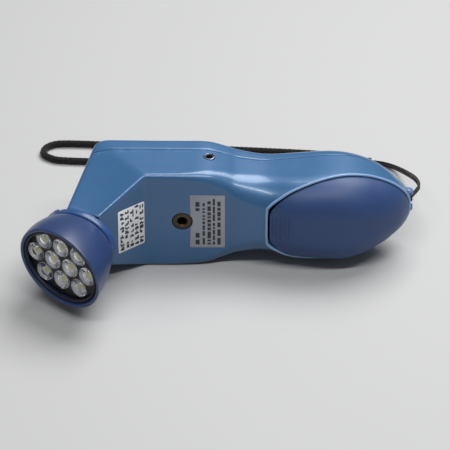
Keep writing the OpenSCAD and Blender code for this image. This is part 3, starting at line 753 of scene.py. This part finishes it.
# Slot at the tail for the strap lug
openings.append(cutter(*sweep([Vector((112.2, 22, 0)), Vector((134, 22, 0))],
                              lambda i, n: rounded_rect(5.5, 12.5, 0.3, 2))))
stand_for("rear_shell", cut(rear_shell, openings))

# ---------- battery door

RIDGES, RIDGE_X, RIDGE_PITCH, RIDGE_R = 5, 50.5, 2.3, 0.85


def door_surface():
    sts = stations([], near_ends(DOOR_LO, DOOR_HI))
    keep = [s for s in sts if s[0] == "x" and DOOR_LO - SLACK <= s[1] <= DOOR_HI + SLACK]
    return patch(keep, "A", 40, DOOR_SEAM, PARTING, DOOR_INSET)


stand_for("battery_door", build_shell("battery_door_body", door_surface(), DOOR_WALL, M["navy"], 0.3, "door"))


def door_lip():
    """Rounded bead of the casing round the opening, coloured lighter than the casing as a painted highlight
    along it.
    """
    half = [Vector((OPENING_LO - 0.3, back_y(OPENING_LO) - 0.2, z)) for z in (0, 2, 4, 6)]
    for i in range(46):
        x = OPENING_LO + 0.02 + (OPENING_HI - OPENING_LO - 0.04) * (0.5 - 0.5 * math.cos(math.pi * i / 45))
        r = handle_ring(x)
        t = r.t_at(seam_y(x, SHELL_SEAM + 0.45))
        half.append(r.point(t) + r.normal(t) * 0.2)
    ring = half + [Vector((p.x, p.y, -p.z)) for p in reversed(half[1:])]
    path = smooth_path([tuple(p) for p in ring], 0.7, closed=True)
    return sweep(path, round_section(0.78, 14), closed=True, up=Vector((0, 1, 0.01)))


# The lip's lighter material is a painted highlight
new_object("door_lip", *door_lip(), M["edge"])


def thumb_ridge(i):
    """One ridge across the door; its ends sink into the surface."""
    x = RIDGE_X + RIDGE_PITCH * i
    y = back_y(x, DOOR_INSET)
    half = 7.2 + 0.35 * i
    shares = (-1, -0.95, -0.88, -0.7, -0.35, 0, 0.35, 0.7, 0.88, 0.95, 1)
    pts = [Vector((x, y + 0.35 + 0.5 * max(0, abs(k) - 0.8) / 0.2, half * k)) for k in shares]
    return sweep(pts, round_section(RIDGE_R, 14), up=Vector((0, 1, 0)))


ridges = join_parts([thumb_ridge(i) for i in range(RIDGES)])
new_object("door_ridges", *ridges, M["navy"], body="door")

# ---------- display side

half_line = [(-41.6, 22.0), (-40.6, 24.4), (-38.4, 25.2), (-30, 25.3), (-20, 25.3), (-8, 25.3), (2, 25.2),
             (12, 24.0), (22, 21.2), (32, 18.2), (42, 16.0), (50, 15.0), (56, 12.6), (60, 8.6), (62.2, 4.0)]
full_line = [(x, z, 0) for x, z in half_line] + [(x, -z, 0) for x, z in reversed(half_line)]
overlay_outline = [(p.x, p.y) for p in smooth_path(full_line, 0.8, closed=True)]

KEY_BODY = {"key_plus": "plus_key", "key_minus": "minus_key", "key_double": "double_key",
            "key_half": "half_key", "key_trigger": "trigger_key"}


def shield(grow):
    """Outline of the trigger key, a circle drawn out towards the tail; its origin isn't its box's middle."""
    out = []
    for c, s in circle(48):
        out.append(((6.2 + grow) * c - 0.8 * (2 * c * c - 1), (7 + grow) * s * (1 - 0.14 * c)))
    return out


window_c = middle("lcd_window").xz
key_centre = {node: middle(node).xz for node in KEY_BODY}
key_centre["key_trigger"] = (27.0, 0.0)
holes = [moved(rounded_rect(30, 26, 1.5), window_c)]
for node, centre in key_centre.items():
    holes.append(moved(shield(0.35) if node == "key_trigger" else rounded_rect(7.7, 8.7, 1.8), centre))


def front_surface():
    sts = stations(near_split(HEAD_SPLIT_FRONT), [TAIL_SPLIT_FRONT])
    keep = [s for s in sts if not (s[0] == "head" and s[1] > HEAD_SPLIT_FRONT + SLACK)
            and not (s[0] == "x" and s[1] > TAIL_SPLIT_FRONT + SLACK)]
    return patch(keep, "C", 34, None, FRONT_BOTTOM)


front_shell = build_shell("front_shell_body", front_surface(), SHELL_WALL, M["casing"], 0.32)
recess = cutter(*prism(overlay_outline, 36.1, 46))
stand_for("front_shell", cut(front_shell, [cutter(*prism(h, 30, 42)) for h in holes] + [recess]))

film = flat_piece("display_overlay_film", [overlay_outline] + holes, 36.15, 36.65, 0.12, M["overlay"])
stand_for("display_overlay", film)
frame_lines = [moved(rounded_rect(34, 30, 3), window_c), moved(rounded_rect(30.6, 26.6, 1.8), window_c)]
flat_piece("display_frame", frame_lines, 36.5, 36.95, 0.12, M["ink_pale"])
pane = moved(rounded_rect(29.6, 25.6, 1.4), window_c)
stand_for("lcd_window", flat_piece("lcd_window_pane", [pane], 34.9, 36.4, 0.15, M["clear"]))

# Two rows of seven-segment digits on the display, read with the lamp end up
SEGMENTS = {"0": "abcdef", "1": "bc", "2": "abged", "5": "afgcd"}


def digit_bars(ch, x0, z0, w, h, t):
    """Bars (x, z, length in x, length in z) of a digit whose top is at x0; its left side is towards +Z."""
    out = []
    for s in SEGMENTS[ch]:
        if s in "adg":
            out.append((x0 + {"a": 0, "g": h / 2, "d": h}[s], z0, t, w - 1.4 * t))
        else:
            out.append((x0 + h * (0.25 if s in "bf" else 0.75), z0 + (w / 2 if s in "ef" else -w / 2),
                        h / 2 - 0.7 * t, t))
    return out


bars = []
for i, ch in enumerate("1200"):
    bars += digit_bars(ch, -19.5, 8.4 - 5.6 * i, 3.6, 8.0, 0.85)
for i, ch in enumerate("520"):
    bars += digit_bars(ch, -31.5, 3.6 - 4.6 * i, 2.9, 6.2, 0.7)
digits = bar_boxes(bars, lambda a, b, lift: (a, lift, b), 32.83, 32.93)
new_object("lcd_digits", *digits, M["ink"], weld=False)

# ---------- keys


def pillow(outline, levels, centre):
    """Lofted cap through levels of (scale, y), closed to a point at both ends."""
    levels = [(0, levels[0][1])] + levels + [(0, levels[-1][1] + 0.03)]
    verts = [(centre[0] + x * s, y, centre[1] + z * s) for s, y in levels for x, z in outline]
    return verts, grid_faces(len(levels), len(outline), wrap_cols=True)


def key_cap(node):
    """Dished cap, the flange that holds it behind the casing, and the stem on its switch."""
    big = node == "key_trigger"
    x, z = key_centre[node]
    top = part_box(node)[1].y / MM
    cap = pillow(shield(0) if big else rounded_rect(7, 8, 1.5),
                 [(1, 34.2), (1, top - 0.75), (0.985, top - 0.35), (0.93, top - 0.08), (0.82, top),
                  (0.6, top - 0.12), (0.3, top - 0.2)], (x, z))
    flange = pillow(shield(0.9) if big else rounded_rect(8.6, 9.8, 2),
                    [(0.98, 33.4), (1, 33.5), (1, 34.2), (0.98, 34.3)], (x, z))
    stem = revolve([(0, 0), (1.4, 0), (1.5, 0.15), (1.5, 3.0), (0, 3.0)], 24,
                   Matrix.Translation((x, 30.6, z)) @ Matrix.Rotation(math.radians(-90), 4, "X"))
    return join_parts([cap, flange, stem])


for node, body in KEY_BODY.items():
    stand_for(node, new_object(node + "_cap", *key_cap(node), M[SLOT_OF[node]], body=body, angle=50))

# Raised marks on the key caps: plus, minus, and triangles for double and half
marks = {
    "key_plus": [rect(-0.35, -1.5, 0.35, 1.5), rect(-1.5, -0.35, -0.35, 0.35), rect(0.35, -0.35, 1.5, 0.35)],
    "key_minus": [rect(-0.35, -1.6, 0.35, 1.6)],
    "key_double": [[(-1.2, -1.5), (1.5, 0), (-1.2, 1.5)]],
    "key_half": [[(1.2, -1.5), (1.2, 1.5), (-1.5, 0)]],
}
for node, shapes in marks.items():
    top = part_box(node)[1].y / MM
    parts = [prism(moved(s, key_centre[node]), top - 0.25, top + 0.03) for s in shapes]
    mark = new_object(node + "_mark", *join_parts(parts), M["ink"], body=KEY_BODY[node], weld=False)

# ---------- sockets and tripod insert

for name in SOCKETS:
    profile = [(1.95, -1.2), (1.95, -0.5), (2.3, 0.0), (2.4, 0.25), (2.6, 0.38), (2.85, 0.38), (3.08, 0.25),
               (3.15, 0.0), (3.15, -1.2), (1.95, -1.2)]
    ring = revolve(profile, 64, facing(Vector(MOUNTS[name]["pos_m"]) / MM, MOUNTS[name]["axis"]))
    new_object(name.replace("socket", "jack") + "_ring", *ring, M["ring"])

BORE_R, INSERT_R, BORE_DEPTH, INSERT_DEPTH = 2.6, 5.55, 8, 9
profile = [(BORE_R, 0.35), (2.95, 0.0), (4.9, 0.0), (5.2, 0.12), (INSERT_R, 0.5), (INSERT_R, INSERT_DEPTH),
           (0, INSERT_DEPTH), (0, BORE_DEPTH), (BORE_R, BORE_DEPTH), (BORE_R, 0.35)]
insert = revolve(profile, 72, Matrix.Rotation(math.radians(-90), 4, "X"))
stand_for("tripod_insert", new_object("tripod_insert_turned", *insert, M["brass"]))

# ---------- labels

FACET = (NECK_P - BEND_P).normalized()
FACET_OUT = Vector((-FACET.y, FACET.x))
WHITE_MIDDLE, GREY_X, BITE_R = 9.7, 13.85, 6.0
rng = random.Random(7)


def on_facet(a, b, lift):
    """Point of the head's back facet: a along it from the white label's middle, b along Z."""
    c = BEND_P + FACET * (WHITE_MIDDLE + a) + FACET_OUT * (lift + 0.02)
    return (c.x, c.y, b)


def on_back(a, b, lift):
    """Point of the handle's back: a along X from the grey label's middle, b along Z."""
    return (GREY_X + a, -lift - 0.03, b)


def label(node, outline, bars, place, film, ink):
    """Film between two heights, its upper edge drawn in a little, and its print."""
    levels = ((1, film[0]), (1, film[1] - 0.05), (0.994, film[1]))
    rows = [[place(a * k, b * k, lift) for a, b in outline] for k, lift in levels]
    stand_for(node, new_object(node + "_film", *tube(rows), M[SLOT_OF[node]], weld=False))
    boxes = bar_boxes(bars, place, *ink)
    new_object(node + "_print", *boxes, M["ink"], weld=False)


def white_print():
    """Five bands of three short lines each, broken up as small print is."""
    out = []
    for i in range(5):
        a = -6.9 + 3.3 * i
        z = -12.8
        while z < 12.0:
            for k in (-0.85, 0.0, 0.85):
                if rng.random() < 0.84:
                    ln = rng.choice((1.1, 1.6, 2.3))
                    out.append((a + k, z + ln / 2 + rng.uniform(0, 0.5), 0.8, ln))
            z += rng.choice((2.6, 3.0, 3.9))
    return out


def grey_print():
    """Five lines of blocks; the first leaves a gap in the middle, beside the tripod socket."""
    out = []
    for a, width in ((-5.4, 2.2), (-2.0, 1.3), (1.0, 1.9), (3.6, 1.2), (6.4, 1.8)):
        z = -15.5
        while z < 15.0:
            ln = rng.choice((1.2, 2.0, 3.2, 4.5))
            if z + ln > 15.6:
                break
            if a > -5 or abs(z + ln / 2) >= 7.5:
                out.append((a, z + ln / 2, width, ln))
            z += ln + rng.choice((0.7, 0.9, 1.4))
    return out


def grey_outline():
    """Label outline with a round bite out of its edge beside the tripod socket."""
    corners = rounded_rect(19.3, 35.2, 0.8)
    half = len(corners) // 2
    angles = [math.radians(47 * k / 6) for k in range(5, -6, -1)]
    bite = [(BITE_R * math.cos(a) - GREY_X, BITE_R * math.sin(a)) for a in angles]
    return corners[:half] + bite + corners[half:]


label("label_white", rounded_rect(17.8, 28, 0.8), white_print(), on_facet, (0.03, 0.22), (0.2, 0.26))
label("label_grey", grey_outline(), grey_print(), on_back, (0.02, 0.2), (0.18, 0.23))

# ---------- lamp

# The rim faces RIM_DIR; A is an oval's half length across the handle's plane, B its half length along Z
RIM_ANGLE = math.radians(51.5)
RIM_DIR = Vector((-math.cos(RIM_ANGLE), -math.sin(RIM_ANGLE)))
RIM_SIDE = Vector((math.sin(RIM_ANGLE), -math.cos(RIM_ANGLE)))
RIM_C = Vector((-65.7, -44.3))
RIM_A, RIM_B = 28.0, 23.0
BELL_A, BELL_B, BELL_WALL = 22.4, 19, 2.0
COLLAR_A, COLLAR_B = 20.6, 17.6
COLLAR_C = (NECK_P + NECK_Q) / 2 - 0.9 * LAMP_SIDE
COLLAR_LEN = 7.0
BELL_C = COLLAR_C + (COLLAR_LEN + 0.05) * LAMP_DIR
SLANT = ((BELL_C - RIM_C) @ RIM_SIDE) / ((RIM_C - BELL_C) @ RIM_DIR)
OVAL_N = 120


def oval_row(c, angle, a, b):
    """Oval about c, square to the direction at that angle."""
    return [(c.x + a * cos_q * math.sin(angle), c.y - a * cos_q * math.cos(angle), b * sin_q)
            for cos_q, sin_q in circle(OVAL_N)]


def oval_object(name, rows, mat):
    return new_object(name, *tube(rows, closed=True), mat, angle=40)


def bell_row(q, inset, push=0.0):
    """Oval of the bell: q is 0 at the collar and 1 at the rim."""
    g = math.sin(math.pi / 2 * q) ** 0.9
    angle = NECK_ANGLE + (RIM_ANGLE - NECK_ANGLE) * q ** 0.8
    d = Vector((-math.cos(angle), -math.sin(angle)))
    return oval_row(BELL_C.lerp(RIM_C, q) + d * push, angle, BELL_A + (RIM_A - BELL_A) * g - inset,
                    BELL_B + (RIM_B - BELL_B) * g - inset)


def bell_rows():
    """Round the bell's section: outside, rounded rim, inside, and the ledge that sits on the collar."""
    rows = [bell_row(0.0, 1.5), bell_row(0.0, 0.8), bell_row(0.006, 0.35), bell_row(0.02, 0.06)]
    rows += [bell_row(q / 26, 0) for q in range(1, 26)]
    rim = ((0.02, -0.5), (0.14, -0.2), (0.45, -0.03), (0.9, 0.0), (1.35, -0.05), (1.7, -0.25), (1.95, -0.6))
    rows += [bell_row(1, inset, push) for inset, push in rim]
    rows += [bell_row(1 - q / 20, BELL_WALL) for q in range(1, 19)]
    return rows + [bell_row(0.08, 2.6), bell_row(0.08, 6.0), bell_row(0.0, 6.0)]


def collar_rows():
    """Round the collar's section, as (distance along the neck, growth of the oval)."""
    profile = [(0.06, -10.5), (0.06, -0.9), (0.35, -0.9), (0.45, -0.2), (0.6, 0.2), (0.95, 0.5), (1.6, 0.62),
               (4.0, 0.62), (4.6, 0.5), (4.95, 0.15), (5.1, -0.4), (5.3, -1.1), (6.95, -1.1), (6.95, -2.6),
               (2.2, -2.6), (2.2, -10.5)]
    return [oval_row(COLLAR_C + LAMP_DIR * s, NECK_ANGLE, COLLAR_A + g, COLLAR_B + g) for s, g in profile]


def tab_rows():
    """Raised tab on the collar's display side, over 104 degrees of the oval."""
    profile = [(0.75, -0.2), (0.75, 1.1), (1.05, 1.45), (2.5, 1.55), (5.0, 1.68), (7.6, 2.0), (7.6, -0.2)]
    rows = []
    for k in range(128, 233, 4):
        q = math.radians(k)
        pts = []
        for s, a in profile:
            c = COLLAR_C + LAMP_DIR * s
            across = (COLLAR_A + a) * math.cos(q)
            pts.append((c.x + across * LAMP_SIDE.x, c.y + across * LAMP_SIDE.y,
                        (COLLAR_B + a * 0.9) * math.sin(q)))
        rows.append(pts)
    return rows


stand_for("lamp_bell", oval_object("lamp_bell_shell", bell_rows(), M["navy_gloss"]))
stand_for("lamp_collar", oval_object("lamp_collar_band", collar_rows(), M["collar"]))
tab = bevelled(new_object("lamp_tab", *tube(tab_rows()), M["navy_gloss"]), 0.3)


def rim_matrix(depth, centred):
    """Frame facing out of the lamp, a depth behind the rim; centred is the depth where it meets the bell's
    centre line."""
    c = RIM_C - depth * RIM_DIR + centred * SLANT * RIM_SIDE
    return Matrix(((RIM_SIDE.x, 0, RIM_DIR.x, c.x), (RIM_SIDE.y, 0, RIM_DIR.y, c.y), (0, 1, 0, 0),
                   (0, 0, 0, 1)))


def oval_loop(profile, matrix):
    """Ovals of (half length, half width, height) placed by a matrix."""
    return [[tuple(matrix @ Vector((a * c, b * s, z))) for c, s in circle(OVAL_N)] for a, b, z in profile]


# Dark ring inside the rim
seal_a, seal_b = RIM_A - 2.6, RIM_B - 2.6
seal = [(0, 0), (0, 0.9), (0.2, 1.15), (0.7, 1.2), (1.2, 1.0), (1.4, 0.6), (1.4, 0)]
seal_rows = oval_loop([(seal_a - g, seal_b - g, z) for g, z in seal], rim_matrix(2.25, 1.7))
stand_for("rim_ring", oval_object("rim_ring_seal", seal_rows, M["rim_black"]))

# Light sources: rows of 3, 4 and 3, with a cup, a dome and a chip each
PITCH, LENS_R = 12.2, 5.6
ROW_STEP = PITCH * 0.866
lens_xy = [((i - (n - 1) / 2) * PITCH, j * ROW_STEP) for j, n in ((-1, 3), (0, 4), (1, 3)) for i in range(n)]
PLATE = rim_matrix(7.4, 5.9)


def reflector_plate():
    a, b = RIM_A - 3.7, RIM_B - 3.0
    rows = oval_loop([(a, b, 0), (a, b, 2.8), (a - 0.2, b - 0.2, 3.0)], PLATE)
    holes = [cylinder_cutter(PLATE @ Vector((x, z, 1.5)), (RIM_DIR.x, RIM_DIR.y, 0), LENS_R - 0.1, 6, 56)
             for x, z in lens_xy]
    return cut(new_object("led_reflector_plate", *tube(rows), M["rim_black"]), holes)


stand_for("led_reflector", reflector_plate())
CUP = [(1.5, 0.25), (2.2, 0.9), (3.1, 1.7), (4.2, 2.5), (5.1, 3.0), (5.42, 3.1), (5.42, 2.7), (5.0, 2.3),
       (3.0, 1.1), (1.9, 0.25), (1.5, 0.25)]
DOME = [(0, 1.9), (2.0, 1.9), (2.3, 1.75), (4.4, 2.75), (5.3, 3.2), (5.35, 3.45)]
DOME += [(5.1 * math.cos(math.radians(a)), 3.45 + 1.65 * math.sin(math.radians(a))) for a in range(0, 90, 9)]
DOME += [(0, 5.1)]
CHIP = [(0, 0.9), (0.7, 0.8), (1.05, 0.3), (1.1, -0.1), (0, -0.1)]


def at_lenses(name, profile, segments, mat):
    parts = [revolve(profile, segments, PLATE @ Matrix.Translation((x, z, 0))) for x, z in lens_xy]
    return new_object(name, *join_parts(parts), mat)


at_lenses("led_cups", CUP, 56, M["cup"])
stand_for("led_lenses", at_lenses("led_lens_domes", DOME, 56, M["lens"]))
at_lenses("led_chip_domes", CHIP, 28, M["led"])

# ---------- strap


def braid(r, strands, pitch, step, pinch=0.0):
    """Cross-section of a braided cord: two sets of crossing ridges, pinched towards both ends."""
    count = 28

    def section(i, n):
        turn = i * step / pitch * math.pi
        size = r * (min(1.0, 0.5 + 0.5 * min(i, n - 1 - i) * step / pinch) if pinch else 1.0)
        out = []
        for k, (c, s) in enumerate(circle(count)):
            a = strands * math.pi * k / count
            ridge = size * (0.9 + 0.14 * abs(math.sin(a + turn) * math.sin(a - turn)))
            out.append((ridge * c, ridge * s))
        return out
    return section


def wrist_strap():
    """Loop that runs under the display side and comes out beyond the head; both ends go into the sleeve."""
    z = middle("wrist_strap").z
    points = [(100.6, 99), (97, 98.5), (88, 95.2), (70, 94), (20, 95.5), (-40, 97.5), (-70, 98.8), (-78, 101),
              (-82.3, 105), (-82.3, 110), (-78.5, 114.2), (-70, 116), (-40, 114.6), (20, 111), (70, 107.3),
              (88, 104.4), (97, 101), (100.6, 100.5)]
    path = smooth_path([(x, y, z) for x, y in points], 0.6)
    return sweep(path, braid(1.92, 8, 5.6, 0.6, 9.0))


CORD_R, PIN_R = 0.75, 1.0


def strap_cord():
    """Eye round the lug's pin, and two strands from it into the sleeve."""
    x, y = middle("lug_pin").xy
    eye_r = PIN_R + CORD_R + 0.1
    eye = [Vector((x + eye_r * c, y + eye_r * s, 0)) for c, s in circle(40)]
    parts = [sweep(eye, round_section(CORD_R, 12), closed=True)]
    for s in (-1, 1):
        points = [(x + 1.3, y + 1.3, 0), (x + 3.4, y + 6, -0.5 + 0.6 * s), (131.8, 40, -4 + 0.9 * s),
                  (131, 58 + 0.6 * s, -12 + 0.7 * s), (127.4, 77 + 0.8 * s, -21.5 + 0.5 * s),
                  (121, 92 + 0.95 * s, -27.8 + 0.2 * s), (114, 97.5 + s, -29), (107, 99.2 + 0.9 * s, -29)]
        parts.append(sweep(smooth_path(points, 0.5), braid(CORD_R * 1.02, 6, 2.6, 0.5)))
    return join_parts(parts)


def sleeve_rows():
    """Sleeve with two crimped grooves, as (distance from its middle, share of its full size)."""
    c = middle("strap_ferrule")
    half = [(4.2, 0.8), (3.9, 0.95), (2.2, 1.0), (1.9, 0.9), (1.5, 0.9), (1.2, 1.0)]
    profile = [(-s, k) for s, k in half] + half[::-1]
    return [[(c.x + s, c.y + 2.7 * k * cos_q, c.z + 1.75 * k * sin_q) for cos_q, sin_q in circle(40)]
            for s, k in profile]


strap = new_object("wrist_strap_braid", *wrist_strap(), M["fabric"], body="strap", angle=80)
stand_for("wrist_strap", strap)
cord = new_object("strap_cord_braid", *strap_cord(), M["fabric"], body="strap", angle=80, weld=False)
stand_for("strap_cord", cord)
sleeve = new_object("strap_ferrule_sleeve", *tube(sleeve_rows()), M["black"], body="strap", angle=40)
stand_for("strap_ferrule", sleeve)

# ---------- pieces carried over from the CAD

# Rounded edges on the pieces that can be seen from outside or with the door off
ROUNDED = {node: 0.2 for node in ("battery_holder", "lug_pin", "power_jack", "input_jack", "output_jack")}
ROUNDED["strap_lug"] = 0.4
for node, obj in frame["nodes"].items():
    mat = M[SLOT_OF[node]]
    if not obj.material_slots:
        obj.data.materials.append(mat)
    for s in obj.material_slots:
        s.material = mat
    if obj.hide_render:
        continue
    finish_mesh(obj, 32)
    if node in ROUNDED:
        add_bevel(obj, ROUNDED[node])

# ---------- studio

TARGET = Vector((0.025, 0.01, 0.0))
AIM = Vector((0.0235, 0.005, -0.006))


def pale_floor():
    me = bpy.data.meshes.new("studio_floor")
    bm = bmesh.new()
    bmesh.ops.create_grid(bm, x_segments=2, y_segments=2, size=6)
    bm.to_mesh(me)
    bm.free()
    me.materials.append(Nodes("floor_pale").set(base=(0.45, 0.45, 0.45, 1), rough=0.85))
    floor = bpy.data.objects.new("studio_floor", me)
    floor.location = (0, 0, CAD_BOX[0].z - 0.0002)
    bpy.context.scene.collection.objects.link(floor)


def point_at(obj, target):
    obj.rotation_mode = "QUATERNION"
    obj.rotation_quaternion = (target - obj.location).to_track_quat("-Z", "Y")
    bpy.context.scene.collection.objects.link(obj)


def area_light(name, place, size, power):
    light = bpy.data.lights.new(name, "AREA")
    light.shape = "RECTANGLE"
    light.size, light.size_y = size
    light.energy = power
    obj = bpy.data.objects.new(name, light)
    obj.location = place
    point_at(obj, TARGET)


pale_floor()
world = bpy.data.worlds.new("studio")
bpy.context.scene.world = world
world.use_nodes = True
background = world.node_tree.nodes["Background"]
background.inputs["Color"].default_value = (0.95, 0.97, 1.0, 1)
background.inputs["Strength"].default_value = 0.17
area_light("key_light", (0.34, 0.42, 1.0), (0.9, 0.7), 15.5)
area_light("ridge_strip", (0.1, -0.44, 0.96), (1.0, 0.08), 6.5)

cam = bpy.data.objects.new("camera", bpy.data.cameras.new("camera"))
cam.location = (0.03581, -1.47882, 1.07443)
cam.data.lens = 266
cam.data.clip_start, cam.data.clip_end = 0.05, 50
point_at(cam, AIM)
bpy.context.scene.camera = cam
bpy.context.scene.view_settings.view_transform = "Standard"
